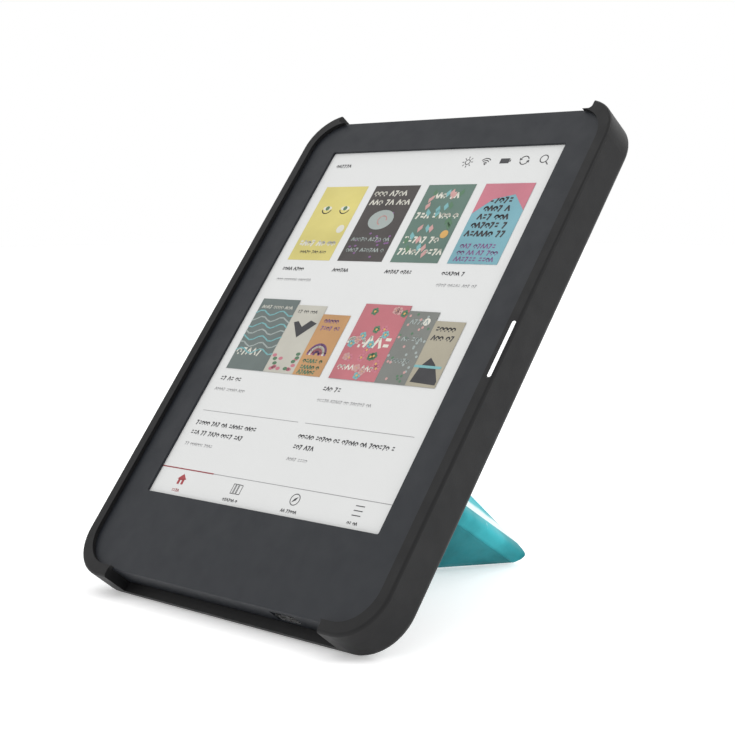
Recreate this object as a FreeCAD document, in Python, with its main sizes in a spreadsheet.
"""Six-inch e-reader held in a hard case whose hinged cover folds into a stand.

Millimetres. The upright device has its own frame: X to the right, Y up the screen and Z out
of the screen, from the middle of the case's bottom rear edge. The cover is drawn flat, with X
from its spine, Y up and Z through its outer skin, and is then folded along its four creases.
"""
import FreeCAD, Part
import math
import os
import Sketcher
from FreeCAD import Placement, Rotation, Vector

doc = FreeCAD.newDocument("e_reader")

# ---------------------------------------------------------------- driving dimensions

DIMENSIONS = [
    ("lean", 37.7),               # degrees back from upright
    ("reader_width", 112.0), ("reader_height", 159.0), ("reader_thickness", 9.2),
    ("reader_corner", 11.0), ("cover_wall", 1.4), ("rear_floor", 1.2), ("bezel_height", 2.0),
    ("side_bezel", 10.6), ("top_bezel", 11.7), ("chin_bezel", 24.7),
    ("window_width", "=reader_width - 2 * side_bezel"),
    ("window_height", "=reader_height - top_bezel - chin_bezel"),
    ("window_rise", "=(chin_bezel - top_bezel) / 2"),
    ("window_recess", 0.8), ("glass_border", 2.0), ("chin_border", 4.0),
    ("film_thickness", 0.3), ("guide_thickness", 0.6), ("paper_thickness", 1.1),
    ("frame_thickness", 1.0), ("frame_rise", 12.0),
    ("case_wall", 3.0), ("case_back", 1.5), ("lip_height", 1.2), ("lip_overhang", 0.5),
    ("fit_gap", 0.1), ("case_corner", 13.0), ("rear_round", 2.0), ("lip_round", 0.9),
    ("clip_reach", "=reader_width / 2 - 6.5"), ("sill_reach", "=reader_width / 2 - 14"),
    ("low_wall", 3.4),
    ("strip_length", 17.0), ("strip_width", 1.2), ("strip_depth", 0.8), ("strip_inset", 1.4),
    ("battery_width", "=reader_width - 38"), ("battery_height", "=reader_height - 75"),
    ("battery_thickness", 3.4),
    ("board_width", "=reader_width - 12"), ("board_height", 38.0), ("board_thickness", 1.0),
    ("port_width", 8.9), ("port_height", 3.2), ("port_depth", 7.4), ("port_wall", 0.35),
    ("port_shift", "=reader_width / 2 - 31"), ("button_shift", "=reader_width / 2 - 18"),
    ("button_rise", "=reader_height - 13"),
    ("button_diameter", 7.6), ("button_travel", 0.4), ("button_gap", 0.2),
    ("button_access", 11.0), ("chip_width", 12.0), ("can_width", 34.0), ("can_height", 20.0),
    ("screw_diameter", 1.6), ("screw_head", 3.2), ("boss_diameter", 5.0),
    ("battery_shift", -8.0), ("wire_shift", "=28 - reader_width / 2"), ("wire_pitch", 2.0),
    ("wire_diameter", 1.2),
    ("wire_length", 6.0), ("can_shift", "=30 - reader_width / 2"), ("can_rise", 4.0),
    ("can_depth", 1.6),
    ("can_gauge", 0.3), ("chip_pitch", 8.0), ("chip_height", 0.9),
    ("sensor_shift", "=reader_width / 2 - 20"),
    ("sensor_rise", 8.0), ("sensor_width", 2.8), ("antenna_shift", "=28 - reader_width / 2"),
    ("antenna_width", 34.0), ("antenna_height", 8.0), ("antenna_drop", 9.0),
    ("flex_width", 20.0), ("flex_gauge", 0.3), ("flex_tuck", 3.0), ("flex_gap", 0.5),
    ("tongue_width", 6.6), ("tongue_gauge", 0.7), ("tongue_setback", 0.9),
    ("flange_rim", 1.2), ("flange_height", 0.6), ("stem_diameter", 2.0),
    ("switch_width", 4.5), ("bracket_width", 12.0), ("bracket_height", 9.0),
    ("cover_gap", 0.3), ("skin_thickness", 0.6), ("stiffener", 1.0), ("lining", 0.5),
    ("cover_corner", 10.0), ("crease_gap", 3.2), ("vertex_rise", 55.0), ("vertex_clearance", 6.0),
    ("flap_crease", 25.0), ("flap_fold", 168.0), ("tip_fold", 104.0),   # degrees
    ("spine_end", 10.0), ("magnet_length", 12.0), ("magnet_width", 4.0),
]

sheet = doc.addObject("Spreadsheet::Sheet", "dims")
for row, (alias, number) in enumerate(DIMENSIONS, 1):
    sheet.set("A%d" % row, alias)
    sheet.set("B%d" % row, str(number))
    sheet.setAlias("B%d" % row, alias)
doc.recompute()


def size(expression):
    """Value of an expression over the sheet's aliases, in millimetres or degrees."""
    return float(sheet.evalExpression(expression))


# Levels and widths that several sub-parts share, as expressions over the sheet.
CASE_WIDTH = "(dims.reader_width + 2 * dims.case_wall)"
CASE_HEIGHT = "(dims.reader_height + 2 * dims.case_wall)"
MIDDLE = CASE_HEIGHT + " / 2"
READER_BACK = "(dims.case_back + dims.fit_gap)"
READER_FRONT = "(" + READER_BACK + " + dims.reader_thickness)"
LIP_BASE = "(" + READER_FRONT + " + dims.fit_gap)"
CASE_DEPTH = "(" + LIP_BASE + " + dims.lip_height)"
SHELL_TOP = "(" + READER_FRONT + " - dims.bezel_height)"
FLOOR = "(" + READER_BACK + " + dims.rear_floor)"
WINDOW_MIDDLE = "(" + MIDDLE + " + dims.window_rise)"
GLASS_WIDTH = "(dims.window_width + 2 * dims.glass_border)"
GLASS_HEIGHT = "(dims.window_height + dims.glass_border + dims.chin_border)"
GLASS_MIDDLE = "(" + WINDOW_MIDDLE + " + (dims.glass_border - dims.chin_border) / 2)"
GLASS_BOTTOM = "(" + GLASS_MIDDLE + " - " + GLASS_HEIGHT + " / 2)"
FILM_BASE = "(" + READER_FRONT + " - dims.window_recess - dims.film_thickness)"
GUIDE_BASE = "(" + FILM_BASE + " - dims.guide_thickness)"
PAPER_BASE = "(" + GUIDE_BASE + " - dims.paper_thickness)"
FRAME_BASE = "(" + PAPER_BASE + " - dims.frame_thickness)"
INNER_WIDTH = "(dims.reader_width - 2 * dims.cover_wall)"
INNER_HEIGHT = "(dims.reader_height - 2 * dims.cover_wall)"
INNER_BOTTOM = "(dims.case_wall + dims.cover_wall)"
INNER_CORNER = "(dims.reader_corner - dims.cover_wall)"
BOARD_BASE = "(" + FLOOR + " + 0.4)"
BOARD_TOP = "(" + BOARD_BASE + " + dims.board_thickness)"
BOARD_MIDDLE = "(" + INNER_BOTTOM + " + 0.5 + dims.board_height / 2)"
BOARD_END = "(" + INNER_BOTTOM + " + 0.5 + dims.board_height)"

# ---------------------------------------------------------------- sketches and features


def origin_plane(body, role):
    for feature in body.Origin.OriginFeatures:
        if feature.Role == role:
            return feature
    raise RuntimeError("no plane " + role)


def new_sketch(body, name, place):
    """Empty sketch on the body's XY plane, moved to place = (x, y, z) expressions."""
    sketch = body.newObject("Sketcher::SketchObject", name)
    sketch.AttachmentSupport = (origin_plane(body, "XY_Plane"), [""])
    sketch.MapMode = "FlatFace"
    for axis, expression in zip("xyz", place):
        sketch.setExpression("AttachmentOffset.Base." + axis, expression)
    return sketch


def constrain(sketch, *arguments):
    return sketch.addConstraint(Sketcher.Constraint(*arguments))


def bind(sketch, kind, *arguments):
    """Adds a dimensional constraint, valued and bound by its last argument, an expression."""
    expression = arguments[-1]
    index = constrain(sketch, kind, *arguments[:-1], size(expression))
    sketch.setExpression("Constraints[%d]" % index, expression)


def rectangle(body, name, place, width, height, corner=None):
    """Rectangle centred on its place, with rounded corners where corner is given."""
    sketch = new_sketch(body, name, place)
    w, h = size(width) / 2, size(height) / 2
    r = size(corner) if corner else 0.0
    flat = Vector(0, 0, 1)
    starts = [Vector(-w + r, -h, 0), Vector(w, -h + r, 0), Vector(w - r, h, 0), Vector(-w, h - r, 0)]
    ends = [Vector(w - r, -h, 0), Vector(w, h - r, 0), Vector(-w + r, h, 0), Vector(-w, -h + r, 0)]
    for start, end in zip(starts, ends):
        sketch.addGeometry(Part.LineSegment(start, end))
    for side, kind in enumerate(("Horizontal", "Vertical") * 2):
        constrain(sketch, kind, side)
    if not corner:
        for side in range(4):
            constrain(sketch, "Coincident", side, 2, (side + 1) % 4, 1)
        bind(sketch, "DistanceX", 0, 1, 0, 2, width)
        bind(sketch, "DistanceY", 1, 1, 1, 2, height)
        constrain(sketch, "Symmetric", 0, 1, 1, 2, -1, 1)
        return sketch
    centres = [Vector(w - r, -h + r, 0), Vector(w - r, h - r, 0), Vector(-w + r, h - r, 0),
               Vector(-w + r, -h + r, 0)]
    for turn, centre in enumerate(centres):
        first = -math.pi / 2 + turn * math.pi / 2
        arc = Part.ArcOfCircle(Part.Circle(centre, flat, r), first, first + math.pi / 2)
        sketch.addGeometry(arc)
    for side in range(4):
        constrain(sketch, "Tangent", side, 2, 4 + side, 1)
        constrain(sketch, "Tangent", 4 + side, 2, (side + 1) % 4, 1)
    for arc in (5, 6, 7):
        constrain(sketch, "Equal", 4, arc)
    bind(sketch, "Radius", 4, corner)
    bind(sketch, "DistanceX", 6, 3, 5, 3, "%s - 2 * %s" % (width, corner))
    bind(sketch, "DistanceY", 4, 3, 5, 3, "%s - 2 * %s" % (height, corner))
    constrain(sketch, "Symmetric", 7, 3, 5, 3, -1, 1)
    return sketch


def disc(body, name, place, diameter):
    sketch = new_sketch(body, name, place)
    sketch.addGeometry(Part.Circle(Vector(0, 0, 0), Vector(0, 0, 1), size(diameter) / 2))
    constrain(sketch, "Coincident", 0, 3, -1, 1)
    bind(sketch, "Diameter", 0, diameter)
    return sketch


def new_body(label):
    body = doc.addObject("PartDesign::Body", label)
    body.Label = label
    return body


def pad(body, sketch, length):
    feature = body.newObject("PartDesign::Pad", sketch.Name + "_pad")
    feature.Profile = sketch
    feature.setExpression("Length", length)
    doc.recompute()
    return feature


def pocket(body, sketch, depth, upward=False):
    """Cuts below the sketch, or above it; it has to take material away."""
    before = body.Shape.Volume
    feature = body.newObject("PartDesign::Pocket", sketch.Name + "_pocket")
    feature.Profile = sketch
    feature.setExpression("Length", depth)
    feature.Reversed = upward
    doc.recompute()
    if not body.Shape.Volume < before - 1e-3:
        raise RuntimeError(sketch.Name + " cut nothing")
    return feature


def round_edges(body, name, radius, chosen):
    """Fillets the edges of the body's tip that the function chosen picks."""
    tip = body.Tip
    names = ["Edge%d" % (i + 1) for i, edge in enumerate(tip.Shape.Edges) if chosen(edge)]
    feature = body.newObject("PartDesign::Fillet", name)
    feature.Base = (tip, names)
    feature.setExpression("Radius", radius)
    doc.recompute()
    return feature


def outer_rim(level, width, height):
    """Chooser for the outer outline's edges at one level."""
    def chosen(edge):
        box = edge.BoundBox
        flat = abs(box.ZMin - level) < 1e-4 and abs(box.ZMax - level) < 1e-4
        side = max(abs(box.XMin), abs(box.XMax)) > width / 2 - 1e-4
        end = box.YMin < size(MIDDLE) - height / 2 + 1e-4
        end = end or box.YMax > size(MIDDLE) + height / 2 - 1e-4
        return flat and (side or end)
    return chosen


def plate(label, place, width, height, thickness, corner=None):
    body = new_body(label)
    pad(body, rectangle(body, label + "_outline", place, width, height, corner), thickness)
    return body


def block(label, low, lengths):
    """Part::Box whose lengths are bound; low is its lowest corner, three expressions."""
    box = doc.addObject("Part::Box", label)
    for prop, expression in zip(("Length", "Width", "Height"), lengths):
        box.setExpression(prop, expression)
    box.Placement = Placement(Vector(*[size(expression) for expression in low]), Rotation())
    return box


def group(label, kind, pieces):
    joined = doc.addObject(kind, label)
    if kind == "Part::Compound":
        joined.Links = pieces
    else:
        joined.Shapes = pieces
    return joined


device_nodes, panel_nodes, spine_nodes = [], {}, []

# ---------------------------------------------------------------- case


def make_case_shell():
    body = new_body("case_shell")
    centre = ("0", MIDDLE, "0")
    outline = rectangle(body, "case_outline", centre, CASE_WIDTH, CASE_HEIGHT, "dims.case_corner")
    pad(body, outline, LIP_BASE)
    bay_width = "(dims.reader_width + 2 * dims.fit_gap)"
    bay_height = "(dims.reader_height + 2 * dims.fit_gap)"
    bay = rectangle(body, "reader_bay", ("0", MIDDLE, LIP_BASE), bay_width, bay_height,
                    "(dims.reader_corner + dims.fit_gap)")
    pocket(body, bay, LIP_BASE + " - dims.case_back")
    rim = rectangle(body, "lip_outline", ("0", MIDDLE, LIP_BASE), CASE_WIDTH, CASE_HEIGHT,
                    "dims.case_corner")
    pad(body, rim, "dims.lip_height")
    mouth = rectangle(body, "lip_mouth", ("0", MIDDLE, CASE_DEPTH),
                      "(dims.reader_width - 2 * dims.lip_overhang)",
                      "(dims.reader_height - 2 * dims.lip_overhang)",
                      "(dims.reader_corner - dims.lip_overhang)")
    pocket(body, mouth, "dims.lip_height")
    width, height = size(CASE_WIDTH), size(CASE_HEIGHT)
    round_edges(body, "rear_rounding", "dims.rear_round", outer_rim(0.0, width, height))
    round_edges(body, "lip_rounding", "dims.lip_round",
                outer_rim(size(CASE_DEPTH), width, height))
    opening = "(4 * dims.case_wall)"
    top = rectangle(body, "top_opening", ("0", CASE_HEIGHT + " + dims.case_wall - 0.6", CASE_DEPTH),
                    "2 * dims.clip_reach", opening, "dims.lip_height")
    pocket(body, top, CASE_DEPTH + " - dims.low_wall")
    sill = rectangle(body, "bottom_opening", ("0", "0.6 - dims.case_wall", CASE_DEPTH),
                     "2 * dims.sill_reach", opening, "dims.lip_height")
    pocket(body, sill, CASE_DEPTH + " - dims.low_wall")
    hole = disc(body, "button_hole", ("dims.button_shift", "dims.button_rise", "dims.case_back"),
                "dims.button_access")
    pocket(body, hole, "dims.case_back + dims.fit_gap")
    slot = rectangle(body, "strip_slot", STRIP_PLACE, "(dims.strip_width + 2 * dims.fit_gap)",
                     "(dims.strip_length + 2 * dims.fit_gap)",
                     "(dims.strip_width / 2 + dims.fit_gap) * 0.98")
    pocket(body, slot, "dims.strip_depth")
    device_nodes.append(body)


STRIP_PLACE = (CASE_WIDTH + " / 2 - dims.strip_inset", MIDDLE + " - 0.3", CASE_DEPTH)


def make_lip_magnet():
    place = STRIP_PLACE[:2] + (CASE_DEPTH + " - dims.strip_depth",)
    device_nodes.append(plate("lip_magnet", place, "dims.strip_width", "dims.strip_length",
                              "dims.strip_depth", "dims.strip_width * 0.49"))


# ---------------------------------------------------------------- reader housing

SCREW_PLACES = [(side, rise) for side in (-1, 1) for rise in ("low", "high")]


def screw_place(side, rise):
    """Plan position of a frame screw, in a corner clear of the glass."""
    x = "%d * (%s / 4 + %s / 4)" % (side, GLASS_WIDTH, INNER_WIDTH)
    low = INNER_BOTTOM + " + dims.frame_rise + 4"
    high = INNER_BOTTOM + " + " + INNER_HEIGHT + " - 15"
    return x, low if rise == "low" else high


def make_rear_cover():
    body = new_body("rear_cover")
    outline = rectangle(body, "rear_outline", ("0", MIDDLE, READER_BACK), "dims.reader_width",
                        "dims.reader_height", "dims.reader_corner")
    pad(body, outline, SHELL_TOP + " - " + READER_BACK)
    hollow = rectangle(body, "rear_hollow", ("0", MIDDLE, SHELL_TOP), INNER_WIDTH, INNER_HEIGHT,
                       INNER_CORNER)
    pocket(body, hollow, SHELL_TOP + " - " + FLOOR)
    round_edges(body, "rear_cover_rounding", "0.9 * dims.cover_wall",
                outer_rim(size(READER_BACK), size("dims.reader_width"), size("dims.reader_height")))
    notch = rectangle(body, "port_notch", ("dims.port_shift", "dims.case_wall", SHELL_TOP),
                      "(dims.port_width + 2 * dims.fit_gap)", "(3 * dims.cover_wall)")
    pocket(body, notch, SHELL_TOP + " - " + BOARD_TOP)
    hole = disc(body, "button_bore", ("dims.button_shift", "dims.button_rise", FLOOR),
                "(dims.button_diameter + 2 * dims.button_gap)")
    pocket(body, hole, "dims.rear_floor")
    for index, place in enumerate(SCREW_PLACES):
        x, y = screw_place(*place)
        boss = disc(body, "boss_%d" % index, (x, y, FLOOR), "dims.boss_diameter")
        pad(body, boss, FRAME_BASE + " - " + FLOOR)
        bore = disc(body, "boss_bore_%d" % index, (x, y, FRAME_BASE), "dims.screw_diameter")
        pocket(body, bore, "(" + FRAME_BASE + " - " + FLOOR + ") * 0.8")
    device_nodes.append(body)


def make_front_bezel():
    body = new_body("front_bezel")
    outline = rectangle(body, "bezel_outline", ("0", MIDDLE, SHELL_TOP), "dims.reader_width",
                        "dims.reader_height", "dims.reader_corner")
    pad(body, outline, "dims.bezel_height")
    window = rectangle(body, "window", ("0", WINDOW_MIDDLE, READER_FRONT), "dims.window_width",
                       "dims.window_height", "0.5")
    pocket(body, window, "dims.bezel_height")
    ledge = rectangle(body, "glass_seat", ("0", GLASS_MIDDLE, SHELL_TOP),
                      "(" + GLASS_WIDTH + " + 2 * dims.fit_gap)",
                      "(" + GLASS_HEIGHT + " + 2 * dims.fit_gap)")
    pocket(body, ledge, "dims.bezel_height - dims.window_recess", upward=True)
    round_edges(body, "bezel_rounding", "0.5 * dims.window_recess",
                outer_rim(size(READER_FRONT), size("dims.reader_width"),
                          size("dims.reader_height")))
    device_nodes.append(body)


def make_inner_frame():
    frame_height = "(" + INNER_HEIGHT + " - dims.frame_rise - 2)"
    middle = "(" + INNER_BOTTOM + " + dims.frame_rise + " + frame_height + " / 2)"
    body = plate("inner_frame", ("0", middle, FRAME_BASE), "(" + INNER_WIDTH + " - 1)",
                 frame_height, "dims.frame_thickness", "6")
    saver = rectangle(body, "frame_window", ("0", middle, FRAME_BASE + " + dims.frame_thickness"),
                      "(dims.battery_width - 16)", "(dims.battery_height - 16)", "4")
    pocket(body, saver, "dims.frame_thickness")
    for index, place in enumerate(SCREW_PLACES):
        x, y = screw_place(*place)
        hole = disc(body, "frame_hole_%d" % index,
                    (x, y, FRAME_BASE + " + dims.frame_thickness"),
                    "(dims.screw_diameter + 2 * dims.fit_gap)")
        pocket(body, hole, "dims.frame_thickness")
    bottom = "(" + INNER_BOTTOM + " + dims.frame_rise)"
    top = "(" + GLASS_BOTTOM + " + dims.flex_tuck + dims.flex_gap)"
    channel = rectangle(body, "flex_channel",
                        ("0", "(" + bottom + " + " + top + ") / 2",
                         FRAME_BASE + " + dims.frame_thickness"),
                        "(dims.flex_width + 2 * dims.flex_gap)",
                        "(" + top + " - " + bottom + " + 1)")
    pocket(body, channel, "dims.flex_gauge + dims.fit_gap")
    device_nodes.append(body)


def make_screws():
    screws = []
    for index, place in enumerate(SCREW_PLACES):
        x, y = [size(expression) for expression in screw_place(*place)]
        head = doc.addObject("Part::Cylinder", "screw_head_%d" % index)
        head.setExpression("Radius", "dims.screw_head / 2")
        head.setExpression("Height", "0.8")
        head.Placement.Base = Vector(x, y, size(FRAME_BASE + " + dims.frame_thickness"))
        shank = doc.addObject("Part::Cylinder", "screw_shank_%d" % index)
        shank.setExpression("Radius", "dims.screw_diameter / 2")
        shank.setExpression("Height", "3")
        shank.Placement.Base = head.Placement.Base - Vector(0, 0, 3)
        screws.append(group("screw_%d" % index, "Part::MultiFuse", [head, shank]))
    device_nodes.append(group("frame_screws", "Part::Compound", screws))


# ---------------------------------------------------------------- display stack


def make_display():
    for label, base, thickness in (("display_panel", PAPER_BASE, "dims.paper_thickness"),
                                   ("touch_film", FILM_BASE, "dims.film_thickness")):
        device_nodes.append(plate(label, ("0", GLASS_MIDDLE, base), GLASS_WIDTH, GLASS_HEIGHT,
                                  thickness))
    bar = "(dims.chin_border / 2)"
    device_nodes.append(plate("light_guide", ("0", GLASS_MIDDLE + " + " + bar + " / 2", GUIDE_BASE),
                              GLASS_WIDTH, "(" + GLASS_HEIGHT + " - " + bar + ")",
                              "dims.guide_thickness"))
    device_nodes.append(plate("light_strip", ("0", GLASS_BOTTOM + " + " + bar + " / 2", GUIDE_BASE),
                              "(" + GLASS_WIDTH + " - 6)", bar, "dims.guide_thickness"))
    slot = "(dims.frame_rise / 2)"
    base_y = "(" + INNER_BOTTOM + " + dims.frame_rise - 1)"
    left = "-dims.flex_width / 2"
    top = block("flex_top", (left, base_y, PAPER_BASE + " - dims.flex_gauge"),
                ("dims.flex_width", GLASS_BOTTOM + " + dims.flex_tuck - " + base_y,
                 "dims.flex_gauge"))
    drop = block("flex_drop", (left, base_y, BOARD_TOP),
                 ("dims.flex_width", "dims.flex_gauge", PAPER_BASE + " - " + BOARD_TOP))
    foot = block("flex_foot", (left, base_y + " - " + slot, BOARD_TOP),
                 ("dims.flex_width", slot, "dims.flex_gauge"))
    device_nodes.append(group("display_flex", "Part::MultiFuse", [top, drop, foot]))


# ---------------------------------------------------------------- electronics


def make_battery():
    y = "(" + BOARD_END + " + 2 + dims.battery_height / 2)"
    device_nodes.append(plate("battery", ("dims.battery_shift", y, FLOOR), "dims.battery_width",
                              "dims.battery_height", "dims.battery_thickness", "2"))
    wires = []
    for index in range(3):
        wire = doc.addObject("Part::Cylinder", "battery_wire_%d" % index)
        wire.setExpression("Radius", "dims.wire_diameter / 2")
        wire.setExpression("Height", "dims.wire_length")
        start = Vector(size("dims.wire_shift + %d * dims.wire_pitch" % (index - 1)),
                       size(BOARD_END + " + 2"), size(BOARD_TOP + " + dims.wire_diameter / 2"))
        wire.Placement = Placement(start, Rotation(Vector(1, 0, 0), 90))
        wires.append(wire)
    device_nodes.append(group("battery_lead", "Part::Compound", wires))


def make_boards():
    board = plate("main_board", ("0", BOARD_MIDDLE, BOARD_BASE), "dims.board_width",
                  "dims.board_height", "dims.board_thickness", "5")
    for index, place in enumerate(SCREW_PLACES):
        if place[1] == "low":
            x, y = screw_place(*place)
            relief = disc(board, "boss_relief_%d" % index, (x, y, BOARD_TOP),
                          "(dims.boss_diameter + 1)")
            pocket(board, relief, "dims.board_thickness")
    device_nodes.append(board)
    can_middle = "(" + BOARD_MIDDLE + " + dims.can_rise)"
    can = plate("shield_can", ("dims.can_shift", can_middle, BOARD_TOP), "dims.can_width",
                "dims.can_height", "dims.can_depth", "1")
    inside = rectangle(can, "can_hollow", ("dims.can_shift", can_middle, BOARD_TOP),
                       "(dims.can_width - 2 * dims.can_gauge)",
                       "(dims.can_height - 2 * dims.can_gauge)", "(1 - dims.can_gauge)")
    pocket(can, inside, "dims.can_depth - dims.can_gauge", upward=True)
    device_nodes.append(can)
    for label, side, narrower in (("processor", "-", "0"), ("memory_chip", "+", "1")):
        place = ("dims.can_shift %s dims.chip_pitch" % side, can_middle, BOARD_TOP)
        device_nodes.append(plate(label, place, "(dims.chip_width - %s)" % narrower,
                                  "dims.chip_width", "dims.chip_height"))
    sensor_place = ("dims.sensor_shift", BOARD_MIDDLE + " + dims.sensor_rise", BOARD_TOP)
    device_nodes.append(plate("sleep_sensor", sensor_place, "dims.sensor_width",
                              "dims.sensor_width", "1.0"))
    antenna_y = INNER_BOTTOM + " + " + INNER_HEIGHT + " - dims.antenna_drop"
    device_nodes.append(plate("antenna", ("dims.antenna_shift", antenna_y, FLOOR),
                              "dims.antenna_width", "dims.antenna_height", "0.4", "1"))


def make_port():
    """Receptacle shell, a rounded tube on the board with its mouth flush with the edge."""
    front = "dims.case_wall + 0.2"
    shell = block("port_block", ("dims.port_shift - dims.port_width / 2", front, BOARD_TOP),
                  ("dims.port_width", "dims.port_depth", "dims.port_height"))
    doc.recompute()
    edges = [(i + 1, size("dims.port_height") * 0.42, size("dims.port_height") * 0.42)
             for i, edge in enumerate(shell.Shape.Edges)
             if abs(edge.tangentAt(edge.FirstParameter).y) > 0.9]
    rounded = doc.addObject("Part::Fillet", "port_rounded")
    rounded.Base = shell
    rounded.Edges = edges
    mouth = block("port_mouth", ("dims.port_shift - dims.port_width / 2 + dims.port_wall",
                                 front + " - 1", BOARD_TOP + " + dims.port_wall"),
                  ("dims.port_width - 2 * dims.port_wall", "dims.port_depth",
                   "dims.port_height - 2 * dims.port_wall"))
    doc.recompute()
    reach = size("dims.port_height / 2 - dims.port_wall") * 0.9
    inner = doc.addObject("Part::Fillet", "port_mouth_rounded")
    inner.Base = mouth
    inner.Edges = [(number, reach, reach) for number, _, _ in edges]
    port = doc.addObject("Part::Cut", "usb_c_port")
    port.Base = rounded
    port.Tool = inner
    device_nodes.append(port)
    tongue = block("port_tongue", ("dims.port_shift - dims.tongue_width / 2",
                                   front + " + dims.tongue_setback",
                                   BOARD_TOP + " + (dims.port_height - dims.tongue_gauge) / 2"),
                   ("dims.tongue_width", "dims.port_depth - dims.tongue_setback - 1",
                    "dims.tongue_gauge"))
    device_nodes.append(tongue)


def make_button():
    """Rear power button: a cap in the cover's bore, kept in by a flange inside."""
    place = ("dims.button_shift", "dims.button_rise")
    body = new_body("power_button")
    cap = disc(body, "button_cap", place + (READER_BACK + " + 0.2",), "dims.button_diameter")
    pad(body, cap, "dims.rear_floor")
    flange = disc(body, "button_flange", place + (FLOOR + " + 0.05",),
                  "(dims.button_diameter + 2 * dims.flange_rim)")
    pad(body, flange, "dims.flange_height")
    dish = disc(body, "button_dish", place + (READER_BACK + " + 0.2",),
                "(dims.button_diameter - 2)")
    pocket(body, dish, "0.15", upward=True)
    device_nodes.append(body)
    plunger_base = "(" + FLOOR + " + 0.65 + dims.button_travel + 0.1)"
    switch = new_body("tactile_switch")
    stem = disc(switch, "switch_stem", place + (plunger_base,), "dims.stem_diameter")
    pad(switch, stem, "0.4")
    housing = rectangle(switch, "switch_housing", place + (plunger_base + " + 0.3",),
                        "dims.switch_width", "dims.switch_width")
    pad(switch, housing, "0.9")
    device_nodes.append(switch)
    bracket_base = "(" + plunger_base + " + 1.2)"
    device_nodes.append(plate("switch_bracket", place + (bracket_base,),
                              "dims.bracket_width", "dims.bracket_height",
                              FRAME_BASE + " - " + bracket_base, "1"))


# ---------------------------------------------------------------- folding cover, drawn flat

HALF = "((dims.skin_thickness + dims.stiffener + dims.lining) / 2)"
SPINE_GAP = "(dims.cover_gap + " + HALF + ")"
SPINE_WIDTH = "(" + CASE_DEPTH + " + 2 * " + SPINE_GAP + ")"
COVER_WIDTH = "(" + CASE_WIDTH + " + " + SPINE_GAP + ")"
LAYERS = (("lining", "-" + HALF, "dims.lining"),
          ("board", "(dims.lining - " + HALF + ")", "dims.stiffener"),
          ("skin", "(dims.lining + dims.stiffener - " + HALF + ")", "dims.skin_thickness"))

lean = math.radians(size("dims.lean"))
foot_drop = size("dims.rear_round") * (math.cos(lean) + math.sin(lean) - 1)
vertex = Vector(size(COVER_WIDTH) / 2, size("dims.vertex_rise"), 0)
foot_crease = Vector(vertex).normalize()
tip_crease = Vector(vertex.x, -vertex.y, 0).normalize()
flap_slope = math.radians(size("dims.flap_crease"))
foot_fold = 2 * math.degrees(math.atan(math.tan(lean) / foot_crease.x))

# The foot panel's lower edge has to stand on the floor, which sets how far the cover's
# bottom edge lies above the case's.
foot_normal = Rotation(foot_crease, foot_fold).multVec(Vector(0, 0, 1))
floor_normal = Vector(0, math.cos(lean), math.sin(lean))
edge_half = abs(foot_normal.dot(floor_normal)) * size(HALF)
cover_inset = (edge_half + 0.05 + foot_drop + size(SPINE_GAP) * math.sin(lean)) / math.cos(lean)
cover_height = size(CASE_HEIGHT) - 2 * cover_inset
sheet.set("C1", str(cover_height))
sheet.setAlias("C1", "cover_height")
doc.recompute()


def crease_slots(prefix, base, thickness):
    """Tools that part one layer along its creases and at its spine."""
    low = size(base) - 0.1
    rays = (("foot", math.atan2(-vertex.y, -vertex.x)), ("tip", math.atan2(-vertex.y, vertex.x)),
            ("flap", flap_slope), ("fold", math.pi / 2))
    tools = []
    for name, angle in rays:
        slot = doc.addObject("Part::Box", prefix + name + "_slot")
        slot.setExpression("Length", "dims.cover_height")
        slot.setExpression("Width", "2 * dims.crease_gap")
        slot.setExpression("Height", thickness + " + 0.2")
        turn = Rotation(Vector(0, 0, 1), math.degrees(angle))
        corner = turn.multVec(Vector(0, -size("dims.crease_gap"), 0))
        slot.Placement = Placement(Vector(vertex.x, vertex.y, low) + corner, turn)
        tools.append(slot)
    eye = doc.addObject("Part::Cylinder", prefix + "vertex_slot")
    eye.setExpression("Radius", "dims.vertex_clearance")
    eye.setExpression("Height", thickness + " + 0.2")
    eye.Placement.Base = Vector(vertex.x, vertex.y, low)
    spine = doc.addObject("Part::Box", prefix + "spine_slot")
    spine.setExpression("Length", "40")
    spine.setExpression("Width", "dims.cover_height + 20")
    spine.setExpression("Height", thickness + " + 0.2")
    spine.Placement.Base = Vector(size("dims.crease_gap") - 40, -10, low)
    return group(prefix + "slots", "Part::MultiFuse", tools + [eye, spine])


INSIDE = {"back": (0.25, 0.7), "foot": (0.5, 0.12), "tip": (0.85, 0.3), "flap": (0.75, 0.75)}


def make_cover():
    for layer, base, thickness in LAYERS:
        extra = 20
        blank = plate(layer + "_blank",
                      ("%s / 2 - %d" % (COVER_WIDTH, extra / 2), "dims.cover_height / 2", base),
                      "(%s + %d)" % (COVER_WIDTH, extra), "dims.cover_height", thickness,
                      "dims.cover_corner")
        parted = doc.addObject("Part::Cut", layer + "_parted")
        parted.Base = blank
        parted.Tool = crease_slots(layer + "_", base, thickness)
        doc.recompute()
        for panel, (across, up) in INSIDE.items():
            probe = Vector(across * size(COVER_WIDTH), up * cover_height,
                           size(base) + size(thickness) / 2)
            shape = [solid for solid in parted.Shape.Solids if solid.isInside(probe, 1e-4, True)][0]
            if layer == "board" and panel == "flap":
                shape = shape.cut(magnet_shape(size("dims.fit_gap")))
            node = doc.addObject("Part::Feature", "%s_%s" % (panel, layer))
            node.Shape = shape
            panel_nodes.setdefault(panel, []).append(node)
    magnet = doc.addObject("Part::Feature", "cover_magnet")
    magnet.Shape = magnet_shape(0.0)
    panel_nodes["flap"].append(magnet)


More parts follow.
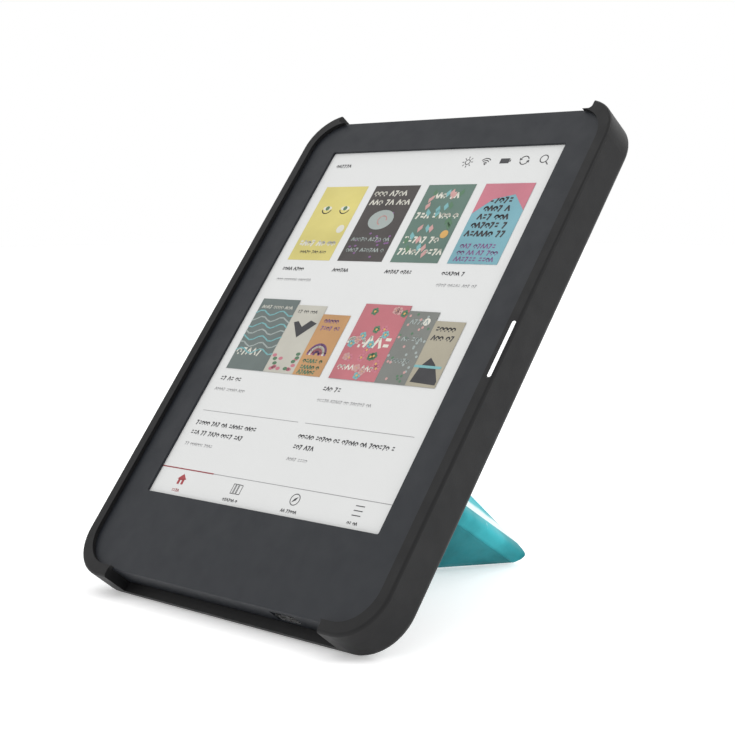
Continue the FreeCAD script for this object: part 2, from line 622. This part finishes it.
def magnet_shape(slack):
    """Bar in the flap's board beside its free edge, or the hole for it with some slack."""
    width, length = size("dims.magnet_width"), size("dims.magnet_length")
    x = size(COVER_WIDTH) - width - 1.5
    y = vertex.y + vertex.x * math.tan(flap_slope) + size("dims.crease_gap") + 4
    z = size(LAYERS[1][1])
    thickness = size("dims.stiffener")
    return Part.makeBox(width + 2 * slack, length + 2 * slack, thickness,
                        Vector(x - slack, y - slack, z))


def make_spine():
    for layer, base, thickness in LAYERS:
        height = "(dims.cover_height - 2 * dims.spine_end)"
        node = plate("spine_" + layer, (SPINE_WIDTH + " / 2", "dims.cover_height / 2", base),
                     "(" + SPINE_WIDTH + " - dims.crease_gap - 1.2)", height, thickness, "1")
        spine_nodes.append(node)


# ---------------------------------------------------------------- build and fold


def turn_about(point, axis, angle):
    return Placement(Vector(0, 0, 0), Rotation(axis, angle), point)


make_case_shell()
make_lip_magnet()
make_rear_cover()
make_front_bezel()
make_inner_frame()
make_screws()
make_display()
make_battery()
make_boards()
make_port()
make_button()
make_cover()
make_spine()
doc.recompute()

upright = Placement(Vector(0, 0, -foot_drop), Rotation(Vector(1, 0, 0), 90 - size("dims.lean")))
spine_edge = Vector(-size(CASE_WIDTH) / 2 - size(SPINE_GAP), cover_inset, -size(SPINE_GAP))
spine_place = upright * Placement(spine_edge, Rotation())
back_place = spine_place * Placement(Vector(size(SPINE_WIDTH), 0, 0), Rotation())
fold_axis_point = vertex - Vector(0, 0, size(HALF) + 0.15)
PLACES = {
    "back": back_place,
    "foot": back_place * turn_about(Vector(0, 0, 0), foot_crease, foot_fold),
    "flap": back_place * turn_about(fold_axis_point, Vector(0, 1, 0), size("dims.flap_fold")),
}
PLACES["tip"] = PLACES["foot"] * turn_about(vertex, tip_crease, -size("dims.tip_fold"))

JOINTS = {   # name: (point, axis, full range in degrees or millimetres), in the row's frame
    "spine_hinge": (spine_place.Base, spine_place.Rotation.multVec(Vector(0, 1, 0)), 270.0),
    "cover_hinge": (back_place.Base, back_place.Rotation.multVec(Vector(0, 1, 0)), 90.0),
    "foot_fold": (back_place.Base, back_place.Rotation.multVec(-foot_crease), foot_fold),
    "flap_fold": (back_place.multVec(fold_axis_point),
                  back_place.Rotation.multVec(Vector(0, -1, 0)), size("dims.flap_fold")),
    "tip_fold": (PLACES["foot"].multVec(vertex),
                 PLACES["foot"].Rotation.multVec(tip_crease), size("dims.tip_fold")),
    "power_button_press": (upright.Base, upright.Rotation.multVec(Vector(0, 0, 1)),
                           size("dims.button_travel")),
}

placed = [(node, upright * node.Placement) for node in device_nodes]
placed += [(node, spine_place) for node in spine_nodes]
placed += [(node, PLACES[panel]) for panel in PLACES for node in panel_nodes[panel]]

os.makedirs("parts", exist_ok=True)
for node, place in placed:
    node.Placement = place
doc.recompute()
for item in doc.Objects:
    if "Invalid" in item.State or "Error" in item.State:
        raise RuntimeError("%s failed: %s" % (item.Label, item.State))
for node, place in placed:
    if node.Shape.isNull() or not node.Shape.isValid():
        raise RuntimeError(node.Label + " has no valid shape")
for node, place in placed:
    node.Shape.exportStep("parts/%s.step" % node.Label)
print(len(placed), "sub-parts written")
